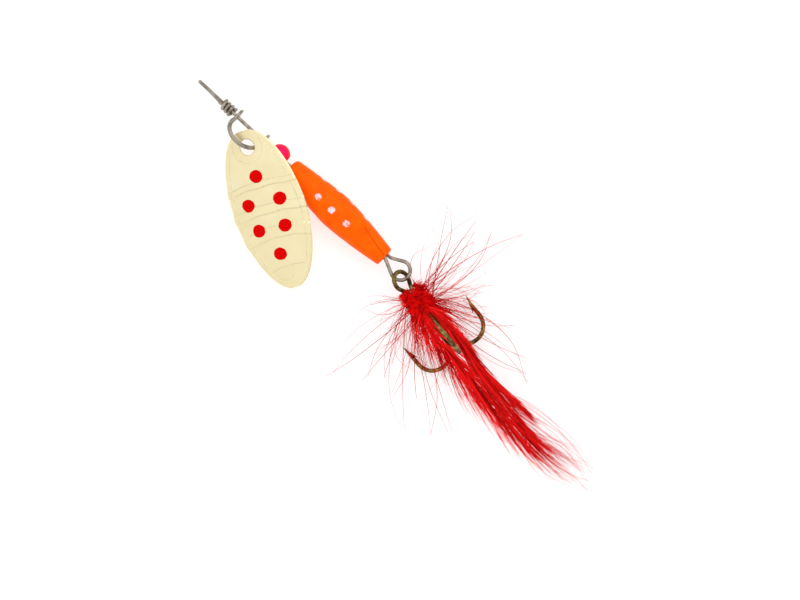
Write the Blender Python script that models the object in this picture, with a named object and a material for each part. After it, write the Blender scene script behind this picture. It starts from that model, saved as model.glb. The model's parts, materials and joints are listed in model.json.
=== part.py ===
"""Inline spinner: a wire shaft that carries a blade on a stirrup clevis, a bearing bead, a weighted spindle
body and a dressed treble hook. It lies on a flat surface, with the shaft along X, the line eye at -X, the
tail at +X and +Z up. Sizes are in metres."""

import math

import bmesh
import bpy
from mathutils import Matrix, Vector

MM = 0.001

# Body: a turned spindle. It lies on the surface, so its largest radius is the shaft's height.
BODY_LENGTH = 27.5 * MM
BODY_RADIUS = 3.78 * MM
BODY_FRONT_RADIUS = 2.3 * MM
BODY_REAR_RADIUS = 2.15 * MM
BODY_WIDEST = 13.2 * MM  # from the front end
BODY_FRONT_POWER = 1.3
BODY_REAR_POWER = 1.5
BODY_FRONT_EDGE = 0.85 * MM  # radius of the rounding at each end
BODY_REAR_EDGE = 0.4 * MM
BODY_ASIDE = -0.24 * MM  # of the body on its loose bore, from the shaft's axis
AXIS_HEIGHT = BODY_RADIUS
FRONT = -BODY_LENGTH / 2
REAR = BODY_LENGTH / 2

# Shaft wire
WIRE_RADIUS = 0.4 * MM
BORE_RADIUS = 0.76 * MM
WRAP_RADIUS = 0.87 * MM  # of the wraps' centreline
WRAP_PITCH = 0.88 * MM
WRAP_TURNS = 3.25
WRAP_REAR = -30.3 * MM
EYE_CENTRE_X = -37.75 * MM
EYE_RADIUS = 2.05 * MM
LOOP_CENTRE = Vector((18.06 * MM, 0, AXIS_HEIGHT))
SHAFT_EXIT = Vector((0, -0.32 * MM, 0))  # of the shaft where it leaves the body, from its axis
LOOP_RADIUS = 2.05 * MM
TAG_OFFSET = Vector((0, 0.46 * MM, -0.6 * MM))  # of the tucked end from the shaft's axis
TAG_DEPTH = 0.9 * MM  # of the tucked end inside the body
TAG_POCKET_RADIUS = 1.6 * MM
TAG_POCKET_DEPTH = 1.4 * MM

# Weight in the body's chamber
CHAMBER_RADIUS = 2.1 * MM
CHAMBER_FRONT = 3.6 * MM  # from the body's front end
CHAMBER_REAR = 22.8 * MM
WEIGHT_GAP = 0.2 * MM

# Bead, hanging to one side on its loose bore
BEAD_RADIUS = 2.25 * MM
BEAD_BORE = 1.05 * MM
BEAD_CENTRE = Vector((-17.1 * MM, 0.3 * MM, AXIS_HEIGHT))

# Clevis: two straight legs and a half circle, leaning over from upright about the shaft
CLEVIS_CENTRE_X = -25.3 * MM
CLEVIS_HALF_WIDTH = 3.8 * MM
CLEVIS_DEPTH = 5.6 * MM
CLEVIS_WIRE_RADIUS = 0.46 * MM
CLEVIS_LEAN = math.radians(44)
TAB_RADIUS = 1.6 * MM
TAB_OFFSET = 0.4 * MM  # of the tab's disc past the shaft's axis
TAB_THICKNESS = 0.55 * MM
TAB_HOLE = 0.75 * MM

# Blade, in its own frame: origin at the hole, X along its length, Z out of its convex face
BLADE_LENGTH = 34.95 * MM
BLADE_HALF_WIDTH = 8.55 * MM
BLADE_WIDEST = 0.52 * BLADE_LENGTH  # from its top end
BLADE_HOLE_TO_TOP = 3.7 * MM
BLADE_HOLE = 1.7 * MM
BLADE_THICKNESS = 0.6 * MM
BLADE_DOME = 0.78 * MM
BLADE_BOW = 0.6 * MM
BLADE_END_TRIM = 0.035  # of the half turn that spaces its cross-sections, left off at each end
BLADE_HOLE_AT = Vector((-22.83 * MM, -3.24 * MM, 6.64 * MM))
BLADE_YAW = math.radians(-28)
BLADE_PITCH = math.radians(8)
BLADE_ROLL = math.radians(23.5)

# Treble hook, in its own frame: origin at its eye, X along the shank towards the bends
HOOK_WIRE_RADIUS = 0.465 * MM
HOOK_EYE_AT = Vector((19.75 * MM, -1.45 * MM, 4.0 * MM))
HOOK_YAW = math.radians(-7.7)
HOOK_PITCH = math.radians(-4.4)
HOOK_EYE_RADIUS = 2.02 * MM
HOOK_EYE_TWIST = math.radians(-38)
HOOK_EYE_TURN_UP = math.radians(20)
SPOKES = (-27, 207, 90)  # of the three hooks round the shank, in degrees from +Y
SHANK_SPREAD = 0.6 * MM  # of each wire's centre from the shank's axis
SHANK_FRONT = 3.2 * MM
BEND_START = 15.2 * MM
BEND_DEPTH = 4.2 * MM
GAP_WIDTH = 8.7 * MM  # between the shank and the point
POINT_AT = 10.6 * MM
POINT_FLARE = 0.35 * MM
TAPER_LENGTH = 4.0 * MM
BARB_AT = 3.9 * MM  # behind the point
BARB_LENGTH = 1.6 * MM
BARB_HEIGHT = 0.42 * MM

# Dressing, in the treble's frame
THREAD_FRONT, THREAD_REAR = 3.3 * MM, 9.3 * MM
THREAD_INNER, THREAD_OUTER = 1.36 * MM, 1.72 * MM
COLLAR_FRONT, COLLAR_REAR = 3.8 * MM, 8.8 * MM
COLLAR_INNER, COLLAR_OUTER = 2.02 * MM, 2.9 * MM
FAN_ROOT_AT, FAN_RIM_AT = 6.1 * MM, 8.0 * MM
FAN_INNER = 3.25 * MM
FAN_SIDE, FAN_UP, FAN_DOWN = 17 * MM, 10.5 * MM, 4.35 * MM
FAN_THICKNESS = 0.5 * MM
FEATHER_THICKNESS = 0.4 * MM
FEATHER_EDGE = 0.1 * MM

X_AXIS = Vector((1, 0, 0))


def clear_scene():
    for obj in list(bpy.data.objects):
        bpy.data.objects.remove(obj, do_unlink=True)


def material(name, colour, roughness, metallic=0.0):
    made = bpy.data.materials.new(name)
    made.use_nodes = True
    shader = made.node_tree.nodes["Principled BSDF"]
    shader.inputs["Base Color"].default_value = (*colour, 1)
    shader.inputs["Roughness"].default_value = roughness
    shader.inputs["Metallic"].default_value = metallic
    return made


def empty(name, parent=None, location=(0, 0, 0), turn=None):
    """A frame that pieces hang on. Its rotation comes from the matrix turn."""
    made = bpy.data.objects.new(name, None)
    bpy.context.scene.collection.objects.link(made)
    made.parent = parent
    made.location = location
    if turn:
        made.rotation_euler = turn.to_euler()
    return made


def solid(name, mesh_data, parent, finish=None, location=(0, 0, 0)):
    """The object that holds a bmesh, smooth except at its sharp edges."""
    bmesh.ops.recalc_face_normals(mesh_data, faces=mesh_data.faces)
    mesh = bpy.data.meshes.new(name)
    mesh_data.to_mesh(mesh)
    mesh_data.free()
    mesh.shade_smooth()
    mesh.set_sharp_from_angle(angle=math.radians(35))
    made = bpy.data.objects.new(name, mesh)
    bpy.context.scene.collection.objects.link(made)
    made.parent = parent
    made.location = location
    if finish:
        mesh.materials.append(finish)
    return made


def combine(obj, tool, operation):
    """Joins the hidden object tool to obj, or cuts it away."""
    tool.hide_render = True
    tool.display_type = "WIRE"
    modifier = obj.modifiers.new(tool.name, "BOOLEAN")
    modifier.operation = operation
    modifier.object = tool
    modifier.solver = "EXACT"


def skin(rings, closed=False):
    """A bmesh with quads between rings of points, each ring closed. The end rings are capped, or meet."""
    made = bmesh.new()
    loops = [[made.verts.new(point) for point in ring] for ring in rings]
    pairs = list(zip(loops, loops[1:]))
    if closed:
        pairs.append((loops[-1], loops[0]))
    for first, second in pairs:
        for i in range(len(first)):
            j = (i + 1) % len(first)
            made.faces.new((first[i], first[j], second[j], second[i]))
    if not closed:
        made.faces.new(loops[0][::-1])
        made.faces.new(loops[-1])
    return made


def turned(profile, sides):
    """A ring-shaped solid about X, from a closed outline of (x, radius) points that stays off the axis."""
    rings = []
    for i in range(sides):
        angle = 2 * math.pi * i / sides
        around = Vector((0, math.cos(angle), math.sin(angle)))
        rings.append([Vector((x, 0, 0)) + around * radius for x, radius in profile])
    return skin(rings, closed=True)


def smooth_path(points, steps):
    """A Catmull-Rom curve through the points, with steps pieces between each two."""
    points = [Vector(p) for p in points]
    ends = [2 * points[0] - points[1], *points, 2 * points[-1] - points[-2]]
    path = []
    for before, start, end, after in zip(ends, ends[1:], ends[2:], ends[3:]):
        for i in range(steps):
            t = i / steps
            path.append(
                0.5
                * (
                    2 * start
                    + (end - before) * t
                    + (2 * before - 5 * start + 4 * end - after) * t**2
                    + (3 * start - before - 3 * end + after) * t**3
                )
            )
    return [*path, points[-1]]


def swept(path, radii, sides, bumps=None):
    """A round wire along path, with its radius at each point. bumps holds, for a point's number, an extra
    height and the direction in which the wire's side stands out by it."""
    tangents = []
    for i in range(len(path)):
        before, after = path[max(i - 1, 0)], path[min(i + 1, len(path) - 1)]
        tangents.append((after - before).normalized())
    across = tangents[0].orthogonal().normalized()
    rings = []
    for i, (point, tangent, radius) in enumerate(zip(path, tangents, radii)):
        across = (across - tangent * across.dot(tangent)).normalized()
        third = tangent.cross(across)
        height, side = (bumps or {}).get(i, (0, across))
        ring = []
        for k in range(sides):
            angle = 2 * math.pi * k / sides
            out = across * math.cos(angle) + third * math.sin(angle)
            ring.append(point + out * (radius + height * max(0, out.dot(side)) ** 3))
        rings.append(ring)
    return skin(rings)


def arc(centre, radius, first, second, start, end, steps):
    """Points of an arc in the plane of the unit vectors first and second, angles in degrees."""
    points = []
    for i in range(steps + 1):
        angle = math.radians(start + (end - start) * i / steps)
        points.append(centre + radius * (math.cos(angle) * first + math.sin(angle) * second))
    return points


# ---- shaft wire


def wrap_points():
    """The tag end's wraps round the shaft, from their free end at the rear to the eye's neck."""
    steps = 16
    axis = Vector((WRAP_REAR, 0, AXIS_HEIGHT))
    points = []
    for i in range(round(WRAP_TURNS * steps) + 1):
        turn = i / steps
        angle = 2 * math.pi * (WRAP_TURNS - turn) - math.pi / 2
        around = Vector((0, math.cos(angle), math.sin(angle))) * WRAP_RADIUS
        points.append(axis - X_AXIS * (WRAP_PITCH * turn) + around)
    return points


def line_eye_points():
    """From the wraps round the eye, which stands upright, and back onto the shaft's axis."""
    up = Vector((0, 0, 1))
    centre = Vector((EYE_CENTRE_X, 0, AXIS_HEIGHT))
    neck = WRAP_REAR - WRAP_PITCH * WRAP_TURNS
    lead_in = [
        Vector((neck - 0.55 * MM, -0.3 * MM, AXIS_HEIGHT - 0.86 * MM)),
        Vector((neck - 1.35 * MM, -0.12 * MM, AXIS_HEIGHT - 0.98 * MM)),
    ]
    ring = arc(centre, EYE_RADIUS, X_AXIS, up, -66, -298, 14)
    lead_out = [
        Vector((neck - 0.85 * MM, 0.02 * MM, AXIS_HEIGHT + 0.42 * MM)),
        Vector((neck + 0.1 * MM, 0, AXIS_HEIGHT + 0.04 * MM)),
        Vector((neck + 1.2 * MM, 0, AXIS_HEIGHT)),
    ]
    return [*lead_in, *ring, *lead_out]


def rear_loop_points():
    """The loop that lies flat behind the body, from the shaft round to the tucked end."""
    aside = Vector((0, 1, 0))
    ring = arc(LOOP_CENTRE, LOOP_RADIUS, X_AXIS, aside, -116, 112, 14)
    shaft_end = Vector((REAR, 0, AXIS_HEIGHT))
    lead_in = [shaft_end - X_AXIS * 6 * MM, shaft_end + SHAFT_EXIT / 2 - X_AXIS * 2 * MM]
    lead_in.append(shaft_end + SHAFT_EXIT)
    tag = shaft_end + TAG_OFFSET
    lead_out = [tag + Vector((1.2, 0.2, 0.22)) * MM, tag, tag - X_AXIS * TAG_DEPTH]
    return [*lead_in, *ring, *lead_out]


def make_shaft_wire(datum, steel):
    front = smooth_path([*wrap_points()[-3:], *line_eye_points()], 3)
    rear = smooth_path(rear_loop_points(), 2)
    path = [*wrap_points()[:-3], *front, *rear]
    return solid("shaft_wire", swept(path, [WIRE_RADIUS] * len(path), 10), datum, steel)


# ---- clevis


def make_clevis(datum, steel):
    """In its own frame the stirrup stands upright on the shaft's axis, and the pivot leans it over."""
    pivot = empty(
        "clevis_pivot",
        datum,
        (CLEVIS_CENTRE_X, 0, AXIS_HEIGHT),
        Matrix.Rotation(CLEVIS_LEAN, 3, "X"),
    )
    up = Vector((0, 0, 1))
    bow_height = CLEVIS_DEPTH - CLEVIS_HALF_WIDTH
    bow = arc(up * bow_height, CLEVIS_HALF_WIDTH, X_AXIS, up, 0, 180, 24)
    foot = 1.0 * MM
    knee = 1.3 * MM
    right = X_AXIS * CLEVIS_HALF_WIDTH
    path = [right + up * foot, right + up * knee, *bow, -right + up * knee, -right + up * foot]
    radii = [CLEVIS_WIRE_RADIUS] * len(path)
    radii[0] = radii[-1] = TAB_THICKNESS * 0.4
    radii[1] = radii[-2] = CLEVIS_WIRE_RADIUS * 0.8
    clevis = solid("clevis", swept(path, radii, 10), pivot, steel)
    for side, name in ((-1, "front"), (1, "rear")):
        inner, outer = -TAB_THICKNESS / 2, TAB_THICKNESS / 2
        centre = X_AXIS * (side * CLEVIS_HALF_WIDTH)
        tab = solid(
            f"clevis_tab_{name}",
            swept([X_AXIS * inner, X_AXIS * outer], [TAB_RADIUS] * 2, 28),
            pivot,
            location=centre - up * TAB_OFFSET,
        )
        combine(clevis, tab, "UNION")
    hole = solid(
        "clevis_hole",
        swept([-1.4 * right, 1.4 * right], [TAB_HOLE] * 2, 24),
        pivot,
    )
    combine(clevis, hole, "DIFFERENCE")
    return pivot


# ---- blade


def blade_half_width(along):
    """Half the blade's width at a distance from its top end: a long oval, a little slimmer to its tip."""
    if along < BLADE_WIDEST:
        u = 1 - along / BLADE_WIDEST
        return BLADE_HALF_WIDTH * (1 - u**2) ** 0.47
    u = (along - BLADE_WIDEST) / (BLADE_LENGTH - BLADE_WIDEST)
    return BLADE_HALF_WIDTH * (1 - u**1.65) ** 0.5


def blade_height(along, across):
    """Of the blade's middle surface: domed across and bowed along its length, level at the hole."""
    centre = BLADE_LENGTH / 2 - BLADE_HOLE_TO_TOP
    half = BLADE_LENGTH / 2
    dome = BLADE_DOME * (across / BLADE_HALF_WIDTH) ** 2
    bow = BLADE_BOW * (((along - centre) / half) ** 2 - (centre / half) ** 2)
    return -dome - bow


def blade_mesh():
    """Cross-sections of the plate along its length, each a thin closed outline."""
    stations, strips = 30, 12
    rings = []
    for i in range(stations + 1):
        turn = math.pi * (BLADE_END_TRIM + (1 - 2 * BLADE_END_TRIM) * i / stations)
        from_top = BLADE_LENGTH * 0.5 * (1 - math.cos(turn))
        along = from_top - BLADE_HOLE_TO_TOP
        half = blade_half_width(from_top)
        across = [half * math.sin(math.pi * (k / strips - 0.5)) for k in range(strips + 1)]
        upper = [
            Vector((along, y, blade_height(along, y) + BLADE_THICKNESS / 2)) for y in across
        ]
        lower = [
            Vector((along, y, blade_height(along, y) - BLADE_THICKNESS / 2)) for y in across
        ]
        rings.append([*upper, *lower[::-1]])
    return skin(rings)


def make_blade(clevis_pivot, brass):
    """The blade hangs in a frame whose origin is the centre of the clevis's half circle, because its hole
    slides round that half circle as the blade swings out."""
    bow_height = CLEVIS_DEPTH - CLEVIS_HALF_WIDTH
    pivot = empty("blade_pivot", clevis_pivot, (0, 0, bow_height))
    lean = Matrix.Rotation(CLEVIS_LEAN, 3, "X")
    pivot_at = Vector((CLEVIS_CENTRE_X, 0, AXIS_HEIGHT)) + lean @ Vector((0, 0, bow_height))
    turn = (
        Matrix.Rotation(BLADE_YAW, 3, "Z")
        @ Matrix.Rotation(BLADE_PITCH, 3, "Y")
        @ Matrix.Rotation(BLADE_ROLL, 3, "X")
    )
    undo = lean.transposed()
    hang = empty("blade_hang", pivot, undo @ (BLADE_HOLE_AT - pivot_at), undo @ turn)
    blade = solid("blade", blade_mesh(), hang, brass)
    drill = Vector((0, 0, 2 * MM))
    hole = solid("blade_hole", swept([-drill, drill], [BLADE_HOLE] * 2, 28), hang)
    combine(blade, hole, "DIFFERENCE")
    return pivot


# ---- bead, body and weight


def make_bead(datum, glow_pink):
    first = math.degrees(math.asin(BEAD_BORE / BEAD_RADIUS))
    ball = arc(Vector((0, 0, 0)), BEAD_RADIUS, X_AXIS, Vector((0, 1, 0)), first, 180 - first, 16)
    profile = [(point.x, point.y) for point in ball]
    return solid("bead", turned(profile, 32), datum, glow_pink, BEAD_CENTRE)


def body_radius(along):
    """Of the spindle at a distance from its front end."""
    if along < BODY_WIDEST:
        u = 1 - along / BODY_WIDEST
        return BODY_RADIUS - (BODY_RADIUS - BODY_FRONT_RADIUS) * u**BODY_FRONT_POWER
    u = (along - BODY_WIDEST) / (BODY_LENGTH - BODY_WIDEST)
    return BODY_RADIUS - (BODY_RADIUS - BODY_REAR_RADIUS) * u**BODY_REAR_POWER


def end_rounding(end, inward, edge):
    """A quarter round from the body's end face out to its side, as (x, radius). inward is 1 or -1 in X."""
    side = body_radius(abs(end + inward * edge - FRONT))
    steps = 5
    points = []
    for i in range(steps + 1):
        turn = math.pi / 2 * i / steps
        points.append((end + inward * edge * (1 - math.cos(turn)), side - edge * (1 - math.sin(turn))))
    return points


def make_body(datum, orange, metal):
    """The shell and the weight share one frame at the body's centre."""
    pivot = empty("body_pivot", datum, (0, BODY_ASIDE, AXIS_HEIGHT))
    stations = 22
    sides = BODY_LENGTH - BODY_FRONT_EDGE - BODY_REAR_EDGE
    outline = end_rounding(FRONT, 1, BODY_FRONT_EDGE)
    for i in range(1, stations):
        along = BODY_FRONT_EDGE + sides * i / stations
        outline.append((FRONT + along, body_radius(along)))
    outline += end_rounding(REAR, -1, BODY_REAR_EDGE)[::-1]
    inside = [
        (REAR, TAG_POCKET_RADIUS),
        (REAR - TAG_POCKET_DEPTH, TAG_POCKET_RADIUS),
        (REAR - TAG_POCKET_DEPTH, BORE_RADIUS),
        (FRONT + CHAMBER_REAR, BORE_RADIUS),
        (FRONT + CHAMBER_REAR, CHAMBER_RADIUS),
        (FRONT + CHAMBER_FRONT, CHAMBER_RADIUS),
        (FRONT + CHAMBER_FRONT, BORE_RADIUS),
        (FRONT, BORE_RADIUS),
    ]
    solid("body_shell", turned([*outline, *inside], 40), pivot, orange)
    weight_front = FRONT + CHAMBER_FRONT + WEIGHT_GAP
    weight_rear = FRONT + CHAMBER_REAR - WEIGHT_GAP
    weight_radius = CHAMBER_RADIUS - WEIGHT_GAP
    weight = [
        (weight_front, BORE_RADIUS),
        (weight_front, weight_radius),
        (weight_rear, weight_radius),
        (weight_rear, BORE_RADIUS),
    ]
    solid("body_weight", turned(weight, 32), pivot, metal)
    return pivot


# ---- treble hook


def spoke(degrees):
    """The direction out from the shank at an angle from +Y."""
    angle = math.radians(degrees)
    return Vector((0, math.cos(angle), math.sin(angle)))


def bend_points(out):
    """One hook from the shank round its bend to the point, in the plane of X and out."""
    centre = X_AXIS * BEND_START + out * (SHANK_SPREAD + GAP_WIDTH / 2)
    points = [X_AXIS * (BEND_START - 3 * MM) + out * SHANK_SPREAD]
    steps = 14
    for i in range(steps + 1):
        angle = math.pi * i / steps
        along = BEND_DEPTH * math.sin(angle) ** 0.9
        points.append(centre + X_AXIS * along - out * (GAP_WIDTH / 2 * math.cos(angle)))
    end = SHANK_SPREAD + GAP_WIDTH
    straight = BEND_START - POINT_AT
    steps = 16
    for i in range(1, steps + 1):
        along = i / steps
        points.append(
            X_AXIS * (BEND_START - straight * along) + out * (end + POINT_FLARE * along**2)
        )
    return points


def point_radius(distance):
    """Of the hook's wire at a distance from its point, ground to a sharp tip."""
    return HOOK_WIRE_RADIUS * min(1, 0.06 + 0.94 * (distance / TAPER_LENGTH) ** 0.7)


def barbed(path, inward_of):
    """Radii and barb bumps along a path whose ends are points. inward_of gives, for the path's start and
    its end, the direction towards the shank, or None where that end isn't a point."""
    radii = [HOOK_WIRE_RADIUS] * len(path)
    bumps = {}
    for order, inward in zip((range(len(path)), range(len(path) - 1, -1, -1)), inward_of):
        if inward is None:
            continue
        distance = 0
        last = None
        for i in order:
            if last is not None:
                distance += (path[i] - path[last]).length
            last = i
            if distance > TAPER_LENGTH + BARB_LENGTH:
                break
            radii[i] = point_radius(distance)
            behind = distance - (BARB_AT - BARB_LENGTH)
            if 0 < behind <= BARB_LENGTH:
                bumps[i] = (BARB_HEIGHT * behind / BARB_LENGTH, inward)
    return radii, bumps


def make_treble(datum, bronze):
    """Returns the frame on the loop's centre, about which the treble swings, and the shank's frame."""
    pivot = empty("hook_pivot", datum, LOOP_CENTRE)
    turn = Matrix.Rotation(HOOK_YAW, 3, "Z") @ Matrix.Rotation(HOOK_PITCH, 3, "Y")
    shank = empty("hook_shank", pivot, HOOK_EYE_AT - LOOP_CENTRE, turn)
    right, left, top = (spoke(angle) for angle in SPOKES)
    tilt = Matrix.Rotation(HOOK_EYE_TURN_UP, 3, "Y") @ Matrix.Rotation(HOOK_EYE_TWIST, 3, "X")
    ahead, aside = tilt @ X_AXIS, tilt @ Vector((0, 1, 0))
    eye = arc(Vector((0, 0, 0)), HOOK_EYE_RADIUS, ahead, aside, 50, 310, 16)
    neck = X_AXIS * SHANK_FRONT
    right_lead = [X_AXIS * (BEND_START / 2) + right * SHANK_SPREAD, neck + right * SHANK_SPREAD]
    left_lead = [neck + left * SHANK_SPREAD, X_AXIS * (BEND_START / 2) + left * SHANK_SPREAD]
    middle = smooth_path([*right_lead, *eye, *left_lead], 2)
    path = [*bend_points(right)[::-1], *middle, *bend_points(left)]
    radii, bumps = barbed(path, (-right, -left))
    solid("hook_pair", swept(path, radii, 10, bumps), shank, bronze)
    path = [X_AXIS * (SHANK_FRONT + 0.4 * MM) + top * SHANK_SPREAD, *bend_points(top)]
    radii, bumps = barbed(path, (None, -top))
    solid("hook_third", swept(path, radii, 10, bumps), shank, bronze)
    return pivot, shank


# ---- dressing


def make_binding(shank, thread, hackle):
    profile = [
        (THREAD_FRONT, THREAD_INNER),
        (THREAD_FRONT, THREAD_OUTER - 0.15 * MM),
        (THREAD_FRONT + 0.3 * MM, THREAD_OUTER),
        (THREAD_REAR - 0.3 * MM, THREAD_OUTER),
        (THREAD_REAR, THREAD_OUTER - 0.15 * MM),
        (THREAD_REAR, THREAD_INNER),
    ]
    solid("thread_wraps", turned(profile, 24), shank, thread)
    profile = [(COLLAR_FRONT, COLLAR_INNER)]
    steps = 6
    for i in range(steps + 1):
        t = i / steps
        swell = math.sin(math.pi * (0.15 + 0.7 * t))
        radius = COLLAR_INNER + (COLLAR_OUTER - COLLAR_INNER) * swell
        profile.append((COLLAR_FRONT + (COLLAR_REAR - COLLAR_FRONT) * t, radius))
    profile.append((COLLAR_REAR, COLLAR_INNER))
    solid("hackle_collar", turned(profile, 24), shank, hackle)


def make_fan(shank, hackle):
    """The long fibres' envelope: a thin dished sheet round the collar, wide to the sides and flattened
    where it meets the surface."""
    sides = 48
    rings = []
    for i in range(sides):
        angle = 2 * math.pi * i / sides
        out = Vector((0, math.cos(angle), math.sin(angle)))
        height = FAN_UP if out.z > 0 else FAN_DOWN
        rim = 1 / math.hypot(out.y / FAN_SIDE, out.z / height)
        near = X_AXIS * FAN_ROOT_AT + out * FAN_INNER
        far = X_AXIS * FAN_RIM_AT + out * rim
        thick = X_AXIS * FAN_THICKNESS
        rings.append([near, near.lerp(far, 0.5) - thick / 2, far, far + thick / 2, near + thick])
    return solid("hackle_fan", skin(rings, closed=True), shank, hackle)


def feather_mesh(path, widest):
    """A narrow vane along path, lying level: it widens to its middle and runs out to a thin tip."""
    root_share = 0.34
    rings = []
    for i, point in enumerate(path):
        before, after = path[max(i - 1, 0)], path[min(i + 1, len(path) - 1)]
        along = (after - before).normalized()
        aside = Vector((0, 0, 1)).cross(along).normalized()
        up = along.cross(aside)
        t = i / (len(path) - 1)
        swell = math.sin(math.pi * (0.12 + 0.62 * t)) ** 3
        half = widest / 2 * (root_share + (1 - root_share) * swell)
        half *= min(1, 3.2 * (1 - t) + 0.12)
        thick = up * FEATHER_THICKNESS / 2
        edge = up * FEATHER_EDGE
        rings.append(
            [
                point - aside * half - edge,
                point - thick,
                point + aside * half - edge,
                point + aside * half + edge,
                point + thick,
                point - aside * half + edge,
            ]
        )
    return skin(rings)


# Routes of the tail feathers, each from behind the collar to its tip, as (x, y, z) in millimetres from the
# body's centre and the surface.
FEATHER_ROUTES = (
    ((29.4, -1.3, 7.4), (36, -1.8, 7.8), (43, -3.1, 6.6), (53, -3.5, 3.9), (64, -3.4, 1.9)),
    (
        (29.4, -1.3, 6.3),
        (36, -1.9, 6.6),
        (43, -3.6, 5.5),
        (54, -5.3, 2.9),
        (65, -6.2, 1.5),
        (76, -3.2, 1.1),
    ),
    (
        (29.4, -4.3, 7.4),
        (36, -5.4, 7.5),
        (43, -6.1, 4.7),
        (54, -6.9, 2.0),
        (66, -7.7, 0.95),
        (77.9, -6.1, 0.6),
    ),
    (
        (29.4, -4.5, 6.3),
        (36, -5.7, 6.35),
        (43, -6.7, 3.7),
        (53, -7.7, 1.3),
        (63, -8.9, 0.4),
        (73.4, -8.3, 0.3),
    ),
)
FEATHER_WIDTHS = (3.2 * MM, 3.4 * MM, 3.4 * MM, 3.0 * MM)


def make_tail(pivot, dyed):
    for number, (route, width) in enumerate(zip(FEATHER_ROUTES, FEATHER_WIDTHS), start=1):
        points = [Vector(point) * MM - LOOP_CENTRE for point in route]
        path = smooth_path(points, 5)
        solid(f"tail_feather_{number}", feather_mesh(path, width), pivot, dyed)


def rest_on_origin(datum):
    """Moves the whole lure so that the bottom centre of its box is the origin."""
    bpy.context.view_layer.update()
    graph = bpy.context.evaluated_depsgraph_get()
    corners = []
    for obj in bpy.data.objects:
        if obj.type == "MESH" and not obj.hide_render:
            shape = obj.evaluated_get(graph)
            corners += [shape.matrix_world @ vert.co for vert in shape.data.vertices]
    low = Vector([min(point[i] for point in corners) for i in range(3)])
    high = Vector([max(point[i] for point in corners) for i in range(3)])
    datum.location = (-(low.x + high.x) / 2, -(low.y + high.y) / 2, -low.z)


def main():
    clear_scene()
    datum = empty("datum")
    steel = material("stainless_wire", (0.55, 0.52, 0.47), 0.3, 1.0)
    brass = material("pale_gold_plate", (0.9, 0.8, 0.5), 0.2, 1.0)
    glow_pink = material("fluorescent_pink", (1.0, 0.03, 0.08), 0.15)
    orange = material("fluorescent_orange", (1.0, 0.12, 0.0), 0.25)
    core = material("brass_core", (0.6, 0.45, 0.2), 0.4, 1.0)
    bronze = material("bronzed_hook", (0.25, 0.16, 0.06), 0.35, 1.0)
    thread = material("red_thread", (0.45, 0.0, 0.0), 0.5)
    hackle = material("red_hackle", (0.65, 0.0, 0.0), 0.7)
    make_shaft_wire(datum, steel)
    clevis_pivot = make_clevis(datum, steel)
    make_blade(clevis_pivot, brass)
    make_bead(datum, glow_pink)
    make_body(datum, orange, core)
    hook_pivot, shank = make_treble(datum, bronze)
    make_binding(shank, thread, hackle)
    make_fan(shank, hackle)
    make_tail(hook_pivot, hackle)
    rest_on_origin(datum)


main()
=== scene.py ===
"""The looks of an inline spinner: fine wires, an embossed blade, a lacquered body and a treble
dressed with hackle and feathers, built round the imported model."""

import json
from math import asin, cos, degrees, exp, hypot, pi, radians, sin, sqrt

import bpy
import numpy as np
from mathutils import Matrix, Vector


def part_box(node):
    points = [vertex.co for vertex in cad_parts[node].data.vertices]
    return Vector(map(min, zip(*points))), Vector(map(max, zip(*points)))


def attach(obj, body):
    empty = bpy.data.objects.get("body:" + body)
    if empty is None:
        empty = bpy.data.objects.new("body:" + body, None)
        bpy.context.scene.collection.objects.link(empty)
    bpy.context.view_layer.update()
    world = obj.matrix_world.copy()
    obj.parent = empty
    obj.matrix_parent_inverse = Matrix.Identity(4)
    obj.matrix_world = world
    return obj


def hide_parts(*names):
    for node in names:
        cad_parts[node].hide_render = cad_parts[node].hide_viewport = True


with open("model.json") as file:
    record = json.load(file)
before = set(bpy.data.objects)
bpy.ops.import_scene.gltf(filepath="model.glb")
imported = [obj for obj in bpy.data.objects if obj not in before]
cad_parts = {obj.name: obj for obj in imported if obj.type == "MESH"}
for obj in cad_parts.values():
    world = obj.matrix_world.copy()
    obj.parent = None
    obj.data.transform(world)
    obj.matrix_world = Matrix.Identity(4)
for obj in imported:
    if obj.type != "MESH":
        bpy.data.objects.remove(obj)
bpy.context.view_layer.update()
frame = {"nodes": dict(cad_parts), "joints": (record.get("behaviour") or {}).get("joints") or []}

MM = 0.001
X_AXIS = Vector((1, 0, 0))
Y_AXIS = Vector((0, 1, 0))
UP = Vector((0, 0, 1))


def joint_point(name):
    found = next(joint for joint in frame["joints"] if joint["name"] == name)
    return Vector(found["pos_m"])


SHAFT_AXIS = joint_point("clevis_spin")
BODY_LOW, BODY_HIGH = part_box("body_shell")
BODY_CENTRE = (BODY_LOW + BODY_HIGH) / 2
BODY_SIZE = BODY_HIGH - BODY_LOW
LOOP_CENTRE = joint_point("hook_swing")


def at(x, y=0.0, z=0.0):
    """A point given in millimetres: along the shaft from the body's centre, and aside and up from
    the shaft's axis."""
    return Vector((BODY_CENTRE.x + x * MM, SHAFT_AXIS.y + y * MM, SHAFT_AXIS.z + z * MM))


def above_table(x, y, z):
    """A point given in millimetres: along and aside from the body's centre, and up from the
    floor."""
    return at(x, y) + UP * (z * MM - SHAFT_AXIS.z)


def turned_frame(origin, yaw, pitch, roll=0.0):
    """A frame at origin, turned in degrees about Z, then its own Y, then its own X."""
    return (
        Matrix.Translation(origin)
        @ Matrix.Rotation(radians(yaw), 4, "Z")
        @ Matrix.Rotation(radians(pitch), 4, "Y")
        @ Matrix.Rotation(radians(roll), 4, "X")
    )


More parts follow.
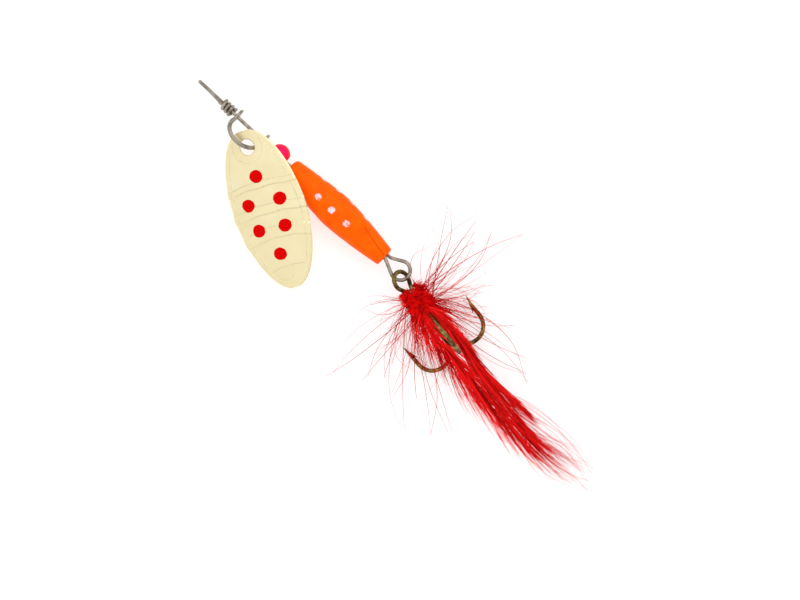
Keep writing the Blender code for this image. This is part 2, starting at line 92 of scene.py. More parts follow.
# Frames that tilted pieces are built in: the blade's starts at its hole, the treble's at its eye
BLADE_HOLE_CENTRE = joint_point("blade_swing") + Vector((2.47, -1.989, 1.565)) * MM
BLADE = turned_frame(BLADE_HOLE_CENTRE, yaw=-28, pitch=8, roll=23.5)
CLEVIS = turned_frame(SHAFT_AXIS, yaw=0, pitch=0, roll=44)
SHANK = turned_frame(at(19.75, -1.45, 0.22), yaw=-7.7, pitch=-4.4)

# Wire sizes
WIRE_RADIUS = 0.4 * MM
CLEVIS_WIRE_RADIUS = 0.46 * MM
HOOK_WIRE_RADIUS = 0.465 * MM

# Shaft wire: places along it in millimetres from the body's centre, and the radius of its two rings
EYE_X = -37.75
NECK_X = -33.16
WRAPS_REAR_X = -30.3
RING_RADIUS = 2.05 * MM

# Blade
BLADE_LENGTH = 34.95 * MM
BLADE_HALF_WIDTH = 8.5 * MM
BLADE_WIDEST = 0.52 * BLADE_LENGTH
BLADE_HOLE_TO_TOP = 3.7 * MM
BLADE_HOLE = 1.7 * MM
BLADE_THICKNESS = 0.5 * MM
BLADE_DOME = 0.78 * MM
BLADE_BOW = 0.6 * MM
DOT_RADIUS = 1.37 * MM
# Centres of the painted dots, along and across the blade from its hole, in millimetres
BLADE_DOTS = (
    (6.3, -0.05), (12.05, 3.55), (11.8, -3.95), (17.8, 2.75), (17.5, -3.45), (23.35, -0.55),
)
# Raised bands across the blade, in millimetres: each one's middle along the blade from the hole,
# its half width, and how far its ends trail back
BLADE_BANDS = ((8.1, 0.62, 0.75), (13.45, 0.98, 0.9), (18.6, 1.25, 1.5))
PANEL_INSET = 1.25 * MM
PANEL_HEIGHT = 0.1 * MM
BAND_HEIGHT = 0.24 * MM
CREASE_WIDTH = 0.09 * MM

# Body, in millimetres
BODY_STATIONS = 300
BODY_SIDES = 220
BODY_FRONT_EDGE = 1.15
BODY_REAR_EDGE = 0.4
BODY_DOT_RADIUS = 0.76
DIMPLE_DEPTH = 0.2

# Treble: directions of its hooks round the shank in degrees (right, left, top), and their shape
SPOKES = (-27, 207, 90)
SHANK_SPREAD = 0.6 * MM
SHANK_FRONT = 3.2 * MM
BEND_START = 15.2 * MM
BEND_DEPTH = 4.2 * MM
GAP_WIDTH = 8.7 * MM
POINT_AT = 10.6 * MM
POINT_FLARE = 0.35 * MM
TAPER_LENGTH = 4.0 * MM
BARB_AT = 3.9 * MM

random = np.random.default_rng(11)
uniform, normal = random.uniform, random.normal


# ---- materials


class Paint:
    """A Principled material and short ways to build its node tree."""

    def __init__(self, name, **values):
        self.material = bpy.data.materials.new(name)
        self.material.use_nodes = True
        self.tree = self.material.node_tree
        self.shader = self.tree.nodes["Principled BSDF"]
        for key, value in values.items():
            self.shader.inputs[key.replace("_", " ")].default_value = value
        self.coordinates = self.tree.nodes.new("ShaderNodeTexCoord").outputs["Object"]

    def link(self, output, target):
        """Links output to a socket, or to the shader's socket of that name."""
        socket = self.shader.inputs[target] if isinstance(target, str) else target
        self.tree.links.new(output, socket)

    def stretched(self, x, y, z):
        node = self.tree.nodes.new("ShaderNodeMapping")
        node.inputs["Scale"].default_value = (x, y, z)
        self.link(self.coordinates, node.inputs["Vector"])
        return node.outputs["Vector"]

    def noise(self, scale, detail=3.0, roughness=0.6, vector=None):
        node = self.tree.nodes.new("ShaderNodeTexNoise")
        for key, value in (("Scale", scale), ("Detail", detail), ("Roughness", roughness)):
            node.inputs[key].default_value = value
        self.link(vector or self.coordinates, node.inputs["Vector"])
        return node.outputs["Fac"]

    def attribute(self, name):
        node = self.tree.nodes.new("ShaderNodeAttribute")
        node.attribute_name = name
        return node.outputs["Fac"]

    def ramp(self, value, *stops):
        """A colour ramp from (position, colour) stops."""
        node = self.tree.nodes.new("ShaderNodeValToRGB")
        elements = node.color_ramp.elements
        while len(elements) < len(stops):
            elements.new(0.5)
        for element, (position, colour) in zip(elements, stops):
            element.position = position
            element.color = (*colour, 1)
        self.link(value, node.inputs["Fac"])
        return node.outputs["Color"]

    def curve(self, value, low, high, out_low=0.0, out_high=1.0):
        """value carried from low..high to out_low..out_high, and held there."""
        node = self.tree.nodes.new("ShaderNodeMapRange")
        limits = {"From Min": low, "From Max": high, "To Min": out_low, "To Max": out_high}
        for key, number in limits.items():
            node.inputs[key].default_value = number
        self.link(value, node.inputs["Value"])
        return node.outputs["Result"]

    def math(self, operation, first, second):
        node = self.tree.nodes.new("ShaderNodeMath")
        node.operation = operation
        for socket, value in zip(node.inputs, (first, second)):
            if isinstance(value, (int, float)):
                socket.default_value = value
            else:
                self.link(value, socket)
        return node.outputs["Value"]

    def mix(self, factor, first, second):
        """A colour between first and second, each a colour or an output."""
        node = self.tree.nodes.new("ShaderNodeMix")
        node.data_type = "RGBA"
        self.link(factor, node.inputs["Factor"])
        # A Mix node has a set of sockets for each type of value, and these are the colours.
        for value, socket in ((first, node.inputs[6]), (second, node.inputs[7])):
            if isinstance(value, tuple):
                socket.default_value = (*value, 1)
            else:
                self.link(value, socket)
        return node.outputs[2]

    def finished(self, colour, roughness, height=None, distance=0.0, strength=1.0):
        """The material, once colour, roughness and the height of a bump are linked to it."""
        self.link(colour, "Base Color")
        self.link(roughness, "Roughness")
        if height:
            node = self.tree.nodes.new("ShaderNodeBump")
            node.inputs["Distance"].default_value = distance
            node.inputs["Strength"].default_value = strength
            self.link(height, node.inputs["Height"])
            self.link(node.outputs["Normal"], "Normal")
        return self.material


def steel_paint():
    """Drawn stainless wire: fine lines along it, dull spots and a warm cast."""
    paint = Paint("drawn_wire", Metallic=1.0)
    lines = paint.noise(900, 3, 0.7, paint.stretched(1, 6, 6))
    spots = paint.noise(700, 5)
    steel = paint.ramp(
        spots, (0.3, (0.16, 0.132, 0.1)), (0.52, (0.36, 0.315, 0.26)), (0.75, (0.52, 0.465, 0.395))
    )
    rough = paint.curve(spots, 0.3, 0.7, 0.5, 0.32)
    return paint.finished(steel, rough, lines, 0.00003, 0.5)


def blade_paint():
    """Pale gold plate: polished, a little cloudy, with tarnish and painted shade in the stamping's
    creases, and painted shade along the rim of the side away from the light.
    """
    paint = Paint("pale_gold_plate", Metallic=0.8, Specular_IOR_Level=0.1)
    cloud = paint.noise(220, 4)
    grain = paint.noise(2600, 4, 0.65)
    gold = paint.ramp(
        cloud, (0.3, (0.92, 0.8, 0.475)), (0.55, (0.95, 0.84, 0.52)), (0.75, (0.97, 0.88, 0.59))
    )
    patches = paint.curve(cloud, 0.4, 0.62, 0.35, 1.0)
    patchiness = paint.math("MULTIPLY", paint.curve(grain, 0.35, 0.62), patches)
    # The crease mark darkens the gold: tarnish in the creases, and painted shade there and on the
    # rim away from the light.
    crease_tarnish_and_shade = paint.math("MULTIPLY", paint.attribute("crease_tarnish_and_shade"), patchiness)
    tarnish_and_shade_mix = paint.math("MULTIPLY", crease_tarnish_and_shade, 0.72)
    gold = paint.mix(tarnish_and_shade_mix, gold, (0.3, 0.23, 0.12))
    rough = paint.curve(grain, 0.3, 0.75, 0.36, 0.48)
    return paint.finished(gold, rough, grain, 0.00001, 0.4)


def dot_paint():
    """Fluorescent red enamel with small pits."""
    paint = Paint("red_enamel", Specular_IOR_Level=0.03)
    pits = paint.noise(3500, 4)
    red = paint.ramp(pits, (0.3, (0.62, 0.0, 0.0)), (0.55, (0.76, 0.0, 0.0)))
    rough = paint.curve(pits, 0.3, 0.7, 0.4, 0.25)
    return paint.finished(red, rough, pits, 0.00002, 0.4)


def body_paint():
    """Fluorescent orange lacquer, with chipped dots of pale paint in the dimples and one dark fibre
    that lies on it. A faint orange glow is painted light, standing in for its fluorescence and for
    fill light."""
    paint = Paint("orange_lacquer", Specular_IOR_Level=0.04, Emission_Strength=0.06)
    ripple = paint.noise(420, 3)
    fleck = paint.noise(2400, 4, 0.7)
    orange = paint.ramp(
        ripple, (0.3, (0.98, 0.1, 0.0)), (0.6, (1.0, 0.125, 0.0)), (0.8, (1.0, 0.15, 0.0))
    )
    chips = paint.curve(paint.noise(1500, 3, 0.6), 0.34, 0.66, 0.35, 1.65)
    edge = paint.math("MULTIPLY", paint.attribute("dot"), chips)
    dot = paint.curve(edge, 0.27, 0.38)
    pale = paint.ramp(fleck, (0.35, (0.9, 0.42, 0.5)), (0.6, (1.0, 0.78, 0.82)))
    colour = paint.mix(dot, orange, pale)
    colour = paint.mix(paint.attribute("hair"), colour, (0.35, 0.0, 0.0))
    # Painted glow: the lacquer's own orange given off faintly as light, standing in for
    # fluorescence and fill light.
    paint.link(orange, "Emission Color")
    rough = paint.curve(fleck, 0.3, 0.7, 0.34, 0.26)
    height = paint.math("ADD", ripple, paint.math("MULTIPLY", dot, 0.4))
    return paint.finished(colour, rough, height, 0.00004, 0.4)


def bead_paint():
    """Fluorescent pink-red moulded plastic that lets a little light in. A faint painted glow of its
    own colour stands in for that light and its fluorescence.
    """
    paint = Paint("pink_plastic", Specular_IOR_Level=0.08, Emission_Strength=0.12)
    swirl = paint.noise(260, 2)
    scuffs = paint.noise(3000, 4)
    pink = paint.ramp(
        swirl, (0.35, (0.95, 0.004, 0.02)), (0.55, (1.0, 0.006, 0.05)), (0.72, (1.0, 0.008, 0.15))
    )
    # Painted glow: the pink given off faintly as light, for the light let in and its fluorescence.
    paint.link(pink, "Emission Color")
    rough = paint.curve(scuffs, 0.35, 0.7, 0.16, 0.3)
    return paint.finished(pink, rough, scuffs, 0.00002, 0.3)


def brass_paint():
    """Turned brass, with fine rings round its axis."""
    paint = Paint("turned_brass", Metallic=1.0)
    rings = paint.noise(1200, 3, 0.6, paint.stretched(8, 1, 1))
    brass = paint.ramp(rings, (0.3, (0.4, 0.26, 0.09)), (0.7, (0.65, 0.46, 0.2)))
    rough = paint.curve(rings, 0.3, 0.7, 0.3, 0.5)
    return paint.finished(brass, rough)


def bronze_paint():
    """Bronzed hook wire: brown lacquer over steel, mottled olive and gold, darker where it is
    worn."""
    paint = Paint(
        "bronzed_wire",
        Metallic=0.85,
        Specular_IOR_Level=0.3,
        Coat_Weight=0.1,
        Coat_Roughness=0.2,
    )
    mottle = paint.math("MULTIPLY", paint.noise(640, 5, 0.7), 0.72)
    fine = paint.noise(3000, 4, 0.7)
    both = paint.math("ADD", mottle, paint.math("MULTIPLY", fine, 0.28))
    bronze = paint.ramp(
        both,
        (0.38, (0.01, 0.007, 0.002)),
        (0.46, (0.06, 0.036, 0.007)),
        (0.53, (0.18, 0.115, 0.025)),
        (0.62, (0.42, 0.31, 0.1)),
    )
    rough = paint.curve(both, 0.35, 0.65, 0.5, 0.28)
    return paint.finished(bronze, rough, fine, 0.00003, 0.5)


def fibre_paint(name, dark, mid, bright, glow):
    """Dyed fibre, whose mesh holds a shade for each strand. glow stands for the light that shines
    through it."""
    paint = Paint(name, Roughness=0.6, Specular_IOR_Level=0.12, Emission_Strength=glow)
    streak = paint.noise(1500, 3)
    streaks = paint.curve(streak, 0.3, 0.7, -0.12, 0.12)
    shade = paint.math("ADD", paint.attribute("shade"), streaks)
    colour = paint.ramp(shade, (0.1, dark), (0.5, mid), (0.95, bright))
    paint.link(colour, "Base Color")
    paint.link(colour, "Emission Color")
    return paint.material


def thread_paint():
    """Dark red waxed thread."""
    paint = Paint("waxed_thread", Coat_Weight=0.3, Coat_Roughness=0.3)
    twist = paint.noise(2600, 3, 0.6)
    red = paint.ramp(twist, (0.3, (0.16, 0.0, 0.0)), (0.7, (0.45, 0.003, 0.003)))
    rough = paint.curve(twist, 0.3, 0.7, 0.35, 0.55)
    return paint.finished(red, rough, twist, 0.00003, 0.5)


def floor_paint():
    """A table of opal white, lit from within, so that shadows on it stay faint."""
    glow = {"Emission_Color": (1, 1, 1, 1), "Emission_Strength": 0.6}
    paint = Paint("studio_table", Roughness=0.7, Specular_IOR_Level=0.2, **glow)
    grain = paint.noise(60, 3)
    white = paint.ramp(grain, (0.3, (0.5, 0.5, 0.5)), (0.7, (0.53, 0.53, 0.53)))
    paint.link(white, "Base Color")
    return paint.material


# ---- mesh building


def piece(name, points, faces, material, body, slot, replaces=(), attributes=None):
    """A mesh object that rides on a CAD body and may stand for CAD nodes."""
    mesh = bpy.data.meshes.new(name)
    mesh.from_pydata([tuple(point) for point in points], [], [tuple(face) for face in faces])
    mesh.update()
    mesh.shade_smooth()
    for key, values in (attributes or {}).items():
        made = mesh.attributes.new(key, "FLOAT", "POINT")
        made.data.foreach_set("value", np.asarray(values, np.float32))
    mesh.materials.append(material)
    made = bpy.data.objects.new(name, mesh)
    bpy.context.scene.collection.objects.link(made)
    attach(made, body)
    if replaces:
        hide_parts(*replaces)


def joined(*shapes):
    """One list of points and one of faces from several (points, faces) pairs."""
    points, faces = [], []
    for more_points, more_faces in shapes:
        start = len(points)
        points += list(more_points)
        faces += [[start + index for index in face] for face in more_faces]
    return points, faces


def circle(sides):
    """The cosines and sines of as many even angles as there are sides."""
    angles = [2 * pi * k / sides for k in range(sides)]
    return [(cos(angle), sin(angle)) for angle in angles]


def ring_faces(rings, sides, closed=False):
    """Quads between consecutive rings, and a cap on each end unless the rings close."""
    faces = []
    for i in range(rings if closed else rings - 1):
        first, second = i * sides, (i + 1) % rings * sides
        for k in range(sides):
            after = (k + 1) % sides
            faces.append([first + k, first + after, second + after, second + k])
    if not closed:
        faces.append(list(range(sides))[::-1])
        faces.append([(rings - 1) * sides + k for k in range(sides)])
    return faces


def smooth_path(points, steps):
    """A Catmull-Rom curve through the points, with steps pieces between each two."""
    points = [Vector(point) for point in points]
    ends = [2 * points[0] - points[1], *points, 2 * points[-1] - points[-2]]
    path = []
    for before, start, end, after in zip(ends, ends[1:], ends[2:], ends[3:]):
        for i in range(steps):
            t = i / steps
            first = (end - before) * t
            second = (2 * before - 5 * start + 4 * end - after) * t**2
            third = (3 * start - before - 3 * end + after) * t**3
            path.append((2 * start + first + second + third) * 0.5)
    return [*path, points[-1]]


def swept(path, radii, sides=18, across=None, flatten=None):
    """A wire along path, with flat ends. across is the direction that its rings start from, and
    flatten holds, for each point, factors on the radius in that direction and square to it."""
    tangents = []
    for i in range(len(path)):
        before, after = path[max(i - 1, 0)], path[min(i + 1, len(path) - 1)]
        tangents.append((after - before).normalized())
    across = (across or tangents[0].orthogonal()).normalized()
    rings, around = [], circle(sides)
    for i, (point, tangent, radius) in enumerate(zip(path, tangents, radii)):
        across = (across - tangent * across.dot(tangent)).normalized()
        third = tangent.cross(across)
        wide, deep = flatten[i] if flatten else (1, 1)
        for cosine, sine in around:
            rings.append(point + (across * cosine * wide + third * sine * deep) * radius)
    return rings, ring_faces(len(path), sides)


def round_ends(path, radii):
    """The path and radii with each cut end slightly domed: first the last one, then the first."""
    for _ in range(2):
        out = (path[-1] - path[-2]).normalized() * radii[-1]
        path = [*path, *[path[-1] + out * length for length in (0.12, 0.24, 0.36)]][::-1]
        radii = [*radii, *[radii[-1] * part for part in (0.98, 0.86, 0.55)]][::-1]
    return path, radii


def turned(profile, centre, sides):
    """A ring-shaped solid about X through centre, from a closed outline of (x, radius)."""
    points = []
    for way in circle(sides):
        out = Vector((0, *way))
        points += [centre + X_AXIS * x + out * radius for x, radius in profile]
    return points, ring_faces(sides, len(profile), closed=True)


def arc(centre, radius, first, second, start, end, steps):
    """Points on a circle from start to end degrees, counted from first towards second."""
    points = []
    for i in range(steps + 1):
        angle = radians(start + (end - start) * i / steps)
        points.append(centre + radius * (cos(angle) * first + sin(angle) * second))
    return points


# ---- shaft wire


def wrap_path():
    """The tag end's wraps, from their cut end at the rear to the eye's neck. Each turn lies a
    little differently, as wraps made by hand do."""
    pitch, turns, radius, steps_per_turn = 0.88, 3.25, 0.87, 36
    points = []
    for i in range(round(turns * steps_per_turn) + 1):
        turn = i / steps_per_turn
        angle = 2 * pi * (turns - turn) - pi / 2
        reach = radius + 0.03 * sin(2.3 * turn)
        x = WRAPS_REAR_X - pitch * turn
        points.append(at(x, cos(angle) * reach, sin(angle) * reach))
    return points


def eye_path():
    """From the wraps up into the line eye, round it, and down onto the shaft's axis."""
    lead_in = [at(NECK_X - 0.55, -0.3, -0.86), at(NECK_X - 1.35, -0.12, -0.98)]
    ring = arc(at(EYE_X), RING_RADIUS, X_AXIS, UP, -66, -298, 24)
    lead_out = [at(NECK_X - 0.85, 0.02, 0.42), at(NECK_X + 0.1, 0, 0.04), at(NECK_X + 1.2)]
    return [*lead_in, *ring, *lead_out]


def loop_path():
    """Out of the body's rear, round the loop that holds the treble, and back in with the end."""
    shaft_end = BODY_SIZE.x / 2 / MM
    ring = arc(LOOP_CENTRE, RING_RADIUS, X_AXIS, Y_AXIS, -116, 112, 26)
    lead_in = [at(shaft_end - 6), at(shaft_end - 2, -0.16), at(shaft_end, -0.32)]
    lead_out = [
        at(shaft_end + 1.2, 0.66, -0.38),
        at(shaft_end, 0.46, -0.6),
        at(shaft_end - 0.9, 0.46, -0.6),
    ]
    return [*lead_in, *ring, *lead_out]


def make_shaft():
    """The whole wire: wraps, line eye, shaft and rear loop."""
    wraps = wrap_path()
    front = smooth_path([*wraps[-3:], *eye_path()], 4)
    path = [*wraps[:-3], *front, *smooth_path(loop_path(), 4)]
    path, radii = round_ends(path, [WIRE_RADIUS] * len(path))
    points, faces = swept(path, radii)
    piece("shaft_wire_bent", points, faces, steel, "shaft", "stainless_wire", ["shaft_wire"])


# ---- clevis


def clevis_tab(x):
    """A flattened end of the stirrup, drilled for the shaft. Its rim is lower than its hole."""
    half_thick, edge, hole, outer, drop = 0.27 * MM, 0.12 * MM, 0.75 * MM, 1.6 * MM, 0.4 * MM
    half = [(half_thick - edge * 0.4, outer - edge * 0.3), (half_thick, outer - edge)]
    half += [(half_thick, hole + edge), (half_thick - edge, hole)]
    mirrored = [(-aside, radius) for aside, radius in reversed(half)]
    profile = [*mirrored[1:], (0, outer), *half, mirrored[0]]
    points, faces = turned(profile, X_AXIS * x, 56)
    lowered = []
    for point in points:
        share = min(1, max(0, (hypot(point.y, point.z) - hole) / (outer - hole)))
        lowered.append(point - UP * drop * share)
    return lowered, faces


def make_clevis():
    """A wire stirrup with its ends flattened into drilled tabs."""
    half_width, depth = 3.8 * MM, 5.6 * MM
    bow_centre = UP * (depth - half_width)
    bow = arc(bow_centre, half_width, X_AXIS, UP, 0, 180, 48)
    leg = [X_AXIS * half_width + UP * height * MM for height in (-0.1, 0.5, 1.0, 1.4)]
    mirrored = [Vector((-point.x, 0, point.z)) for point in reversed(leg)]
    path = [*leg, *bow, *mirrored]
    pressed = [(2.1, 0.52), (2.0, 0.54), (1.6, 0.62), (1.15, 0.86)]
    flatten = [*pressed, *[(1, 1)] * len(bow), *reversed(pressed)]
    radii = [CLEVIS_WIRE_RADIUS] * len(path)
    wire = swept(path, radii, 20, Y_AXIS, flatten)
    points, faces = joined(wire, clevis_tab(-half_width), clevis_tab(half_width))
    points = [CLEVIS @ point for point in points]
    piece("clevis_stirrup", points, faces, steel, "clevis", "stainless_wire", ["clevis"])


# ---- blade


def blade_half_width(from_top):
    """Half the blade's width. Its rim stands out a little where the bands reach it."""
    if from_top < BLADE_WIDEST:
        u = 1 - from_top / BLADE_WIDEST
        half = BLADE_HALF_WIDTH * (1 - u**2) ** 0.47
    else:
        u = (from_top - BLADE_WIDEST) / (BLADE_LENGTH - BLADE_WIDEST)
        half = BLADE_HALF_WIDTH * (1 - u**1.65) ** 0.5
    for middle, reach, trail in BLADE_BANDS:
        end = (middle + trail) * MM + BLADE_HOLE_TO_TOP
        half += 0.09 * MM * exp(-(((from_top - end) / (reach * MM)) ** 2))
    return half


def blade_base(along, across):
    """Height of the plain plate: domed across and bowed along, and level at the hole."""
    centre = BLADE_LENGTH / 2 - BLADE_HOLE_TO_TOP
    half = BLADE_LENGTH / 2
    bow = ((along - centre) / half) ** 2 - (centre / half) ** 2
    return -BLADE_DOME * (across / BLADE_HALF_WIDTH) ** 2 - BLADE_BOW * bow


def step(value, width):
    """0 below -width, 1 above width, and smooth between them."""
    t = min(1, max(0, 0.5 + value / (2 * width)))
    return t * t * (3 - 2 * t)


def groove(distance, width):
    """1 at no distance, and near 0 from twice the width on."""
    return exp(-((distance / width) ** 2))


def stamping(along, across, half):
    """How far the stamped pattern stands out of the plate, and how dark it is painted there:
    tarnish and painted shade in its creases, and painted shade on the rim away from the light.
    """
    rim_distance = half - abs(across)
    inside = rim_distance - PANEL_INSET
    from_hole = hypot(along, across) - 3.4 * MM
    tip = hypot(along - 31.5 * MM, (across - 0.6 * MM) * 0.55) - 5.3 * MM
    to_border = min(inside, from_hole, tip)
    height = PANEL_HEIGHT * step(to_border, 0.13 * MM)
    # Tarnish and painted shade darken the crease along the panel's border.
    crease_tarnish_and_shade = groove(to_border, CREASE_WIDTH)
    if from_hole < inside and from_hole < tip:
        crease_tarnish_and_shade *= step(-0.4 * MM - across, 0.8 * MM)
    if min(inside, from_hole) < -0.3 * MM:
        crease_tarnish_and_shade *= 0.3
    for middle, reach, trail in BLADE_BANDS:
        bent = (middle + trail * (across / BLADE_HALF_WIDTH) ** 2) * MM
        wave = 0.09 * MM * sin(across / MM * 1.1 + middle)
        inward = reach * MM - abs(along - bent - wave)
        height += BAND_HEIGHT * step(inward, 0.24 * MM)
        crease_tarnish_and_shade = max(crease_tarnish_and_shade, 0.9 * groove(inward, CREASE_WIDTH))
    # A ring near the tip, open where it would meet the panel's middle
    ring = hypot(along - 26.9 * MM, across + 1.2 * MM) - 2.3 * MM
    if across > -1.4 * MM or along > 27.6 * MM:
        near_rim = step(rim_distance - 1.0 * MM, 0.3 * MM)
        height -= 0.05 * MM * groove(ring, 0.14 * MM) * near_rim
        crease_tarnish_and_shade = max(crease_tarnish_and_shade, 0.45 * groove(ring, 0.1 * MM))
    # A fine line inside the rim round the tip, and painted shade along the edge of the side away
    # from the light
    line = groove(rim_distance - 0.45 * MM, 0.16 * MM) * step(along - 22 * MM, 4 * MM)
    height -= 0.05 * MM * line
    edge = groove(half - across, 0.2 * MM) * step(along - 11 * MM, 3 * MM)
    return height, max(crease_tarnish_and_shade, 0.5 * line, 0.9 * edge)


def blade_grid():
    """Rows of (along, across, height, crease tarnish and painted shade, share of the half width)
    over the blade's face. Its stations and strips lie closer together towards the rim, and trim
    cuts the bare ends off."""
    stations, strips, trim = 300, 104, 0.008
    rows = []
    for i in range(stations + 1):
        even = trim + (1 - 2 * trim) * i / stations
        from_top = BLADE_LENGTH * (0.175 * (1 - cos(pi * even)) + 0.65 * even)
        half = blade_half_width(from_top)
        along = from_top - BLADE_HOLE_TO_TOP
        row = []
        for k in range(strips + 1):
            q = 2 * k / strips - 1
            across = half * (0.6 * q + 0.4 * sin(pi / 2 * q))
            height, crease_tarnish_and_shade = stamping(along, across, half)
            row.append((along, across, blade_base(along, across) + height, crease_tarnish_and_shade, abs(q)))
        rows.append(row)
    return rows


def blade_faces(rows):
    """Quads on both faces of the grid and between their rims, and the edges of those rims."""
    width = len(rows[0])
    count = len(rows) * width
    flat = [cell for row in rows for cell in row]
    hole = {i for i, cell in enumerate(flat) if hypot(cell[0], cell[1]) < BLADE_HOLE}
    faces, rim = [], {}
    for i in range(len(rows) - 1):
        for k in range(width - 1):
            first = i * width + k
            quad = [first, first + width, first + width + 1, first + 1]
            if hole & set(quad):
                continue
            faces.append(quad)
            faces.append([index + count for index in reversed(quad)])
            # An edge that a second quad runs the other way along is not on the rim.
            for a, b in zip(quad, quad[1:] + quad[:1]):
                if rim.pop((b, a), None) is None:
                    rim[(a, b)] = True
    faces += [[b, a, a + count, b + count] for a, b in rim]
    return faces, rim


def make_blade():
    """The stamped plate: two faces on one grid, thinned to a round rim and drilled by moving the
    grid's nearest points onto the hole's edge."""
    rows = blade_grid()
    flat = [cell for row in rows for cell in row]
    points, crease_tarnish_and_shade = [], []
    for side in (1, -1):
        for along, across, height, mark, q in flat:
            thick = BLADE_THICKNESS / 2 * (1 - q**24) ** 0.5
            if hypot(along, across) < BLADE_HOLE + 0.16 * MM:
                thick *= 0.8
            points.append([along, across, height + side * thick])
            crease_tarnish_and_shade.append(mark)
    faces, rim = blade_faces(rows)
    for edge in rim:
        for index in edge:
            along, across = flat[index][:2]
            distance = hypot(along, across)
            if distance < BLADE_HOLE * 1.4:
                for layer in (index, index + len(flat)):
                    points[layer][0] = along * BLADE_HOLE / distance
                    points[layer][1] = across * BLADE_HOLE / distance
    used = sorted({index for face in faces for index in face})
    place = {index: k for k, index in enumerate(used)}
    faces = [[place[index] for index in face] for face in faces]
    points = [BLADE @ Vector(points[index]) for index in used]
    # The crease mark: tarnish and painted shade for the plate's material.
    marks = {"crease_tarnish_and_shade": [crease_tarnish_and_shade[index] for index in used]}
    piece("blade_plate", points, faces, gold, "blade", "gold_blade", ["blade"], attributes=marks)


def make_dots():
    """Enamel dots: thin discs that follow the blade's surface, with slightly uneven edges. Each is
    a stack of rings, from its middle below out to its edge and back to its middle on top."""
    rings, sides, film, raised, stretch = 12, 56, 0.03 * MM, 0.006 * MM, 1.1
    order = [(i, -1) for i in range(1, rings + 1)] + [(i, 1) for i in range(rings, 0, -1)]
    shapes = []
    for number, (along, across) in enumerate(BLADE_DOTS):
        points = []
        for i, layer in order:
            for k in range(sides):
                angle = 2 * pi * k / sides
                uneven = 1 + 0.012 * sin(3 * angle + number) + 0.008 * sin(7 * angle)
                radius = DOT_RADIUS * i / rings * uneven
                x = along * MM + radius * cos(angle)
                y = across * MM + radius * sin(angle) * stretch
                half = blade_half_width(x + BLADE_HOLE_TO_TOP)
                lift = film * (1 - (i / rings) ** 10) ** 0.5 + raised
                height = blade_base(x, y) + stamping(x, y, half)[0] + BLADE_THICKNESS / 2
                points.append(BLADE @ Vector((x, y, height + layer * lift)))
        shapes.append((points, ring_faces(2 * rings, sides)))
    points, faces = joined(*shapes)
    piece("blade_dots", points, faces, enamel, "blade", "gold_blade")


# ---- bead and body


def make_bead():
    """A moulded ball with a bore and a faint seam round it."""
    low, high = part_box("bead")
    centre, radius, bore = (low + high) / 2, (high.z - low.z) / 2, 1.05 * MM
    first = degrees(asin(bore / radius))
    profile = []
    outline = arc(Vector(), radius, X_AXIS, Y_AXIS, first + 4, 176 - first, 60)
    for point in outline:
        seam = 0.012 * MM * groove(point.x, 0.1 * MM)
        profile.append((point.x, point.y + seam - 0.006 * MM))
    reach = radius * cos(radians(first))
    profile += [(-reach + 0.14 * MM, bore), (reach - 0.14 * MM, bore)]
    points, faces = turned(profile, centre, 96)
    piece("bead_ball", points, faces, pink, "bead", "pink_bead", ["bead"])


def body_radius(along):
    """The spindle's radius in millimetres, at a share of its length from its front end."""
    widest, largest, front, rear = 0.48, BODY_SIZE.z / 2 / MM, 2.3, 2.15
    if along < widest:
        return largest - (largest - front) * (1 - along / widest) ** 1.3
    return largest - (largest - rear) * ((along - widest) / (1 - widest)) ** 1.5


def dimples():
    """The dimples, in four rows of three and four in turn: (millimetres from the front, angle)."""
    found = []
    for row in range(4):
        angle = radians(97.5 + 90 * row)
        places = (8.8, 12.7, 16.9) if row % 2 == 0 else (7.1, 10.9, 14.7, 18.9)
        found += [(place, angle) for place in places]
    return found


def body_section(along):
    """The body's radius in millimetres, along millimetres from its front. Each end turns over a
    small round edge before it goes flat."""
    length = BODY_SIZE.x / MM
    front = along < length / 2
    edge, end = (BODY_FRONT_EDGE, along) if front else (BODY_REAR_EDGE, length - along)
    side = min(max(along, BODY_FRONT_EDGE), length - BODY_REAR_EDGE)
    radius = body_radius(side / length)
    if end < edge:
        radius -= edge - sqrt(edge**2 - (edge - end) ** 2)
    return radius


def stray_fibre(along, angle, radius):
    """How much of the thin fibre that lies on the body is seen here."""
    start, end = (20.2, 1.02), (27.2, 1.5)
    share = (along - start[0]) / (end[0] - start[0])
    if not 0 <= share <= 1:
        return 0.0
    aside = abs(angle - start[1] - (end[1] - start[1]) * share) * radius
    return 0.9 * exp(-((aside / 0.07) ** 2))


def body_ring(x, radii):
    """One ring of points round the body, at x millimetres from its centre."""
    ring = zip(radii, circle(BODY_SIDES))
    return [BODY_CENTRE + Vector((x, out * a, out * b)) * MM for out, (a, b) in ring]


def body_end(way, bore, deep):
    """Rings from the rim of the bore in a flat end down to its bottom."""
    rings = []
    for reach, inward in ((bore + 0.1, 0.0), (bore, 0.1), (bore, deep)):
        rings.append(body_ring(way * (BODY_SIZE.x / 2 / MM - inward), [reach] * BODY_SIDES))
    return rings


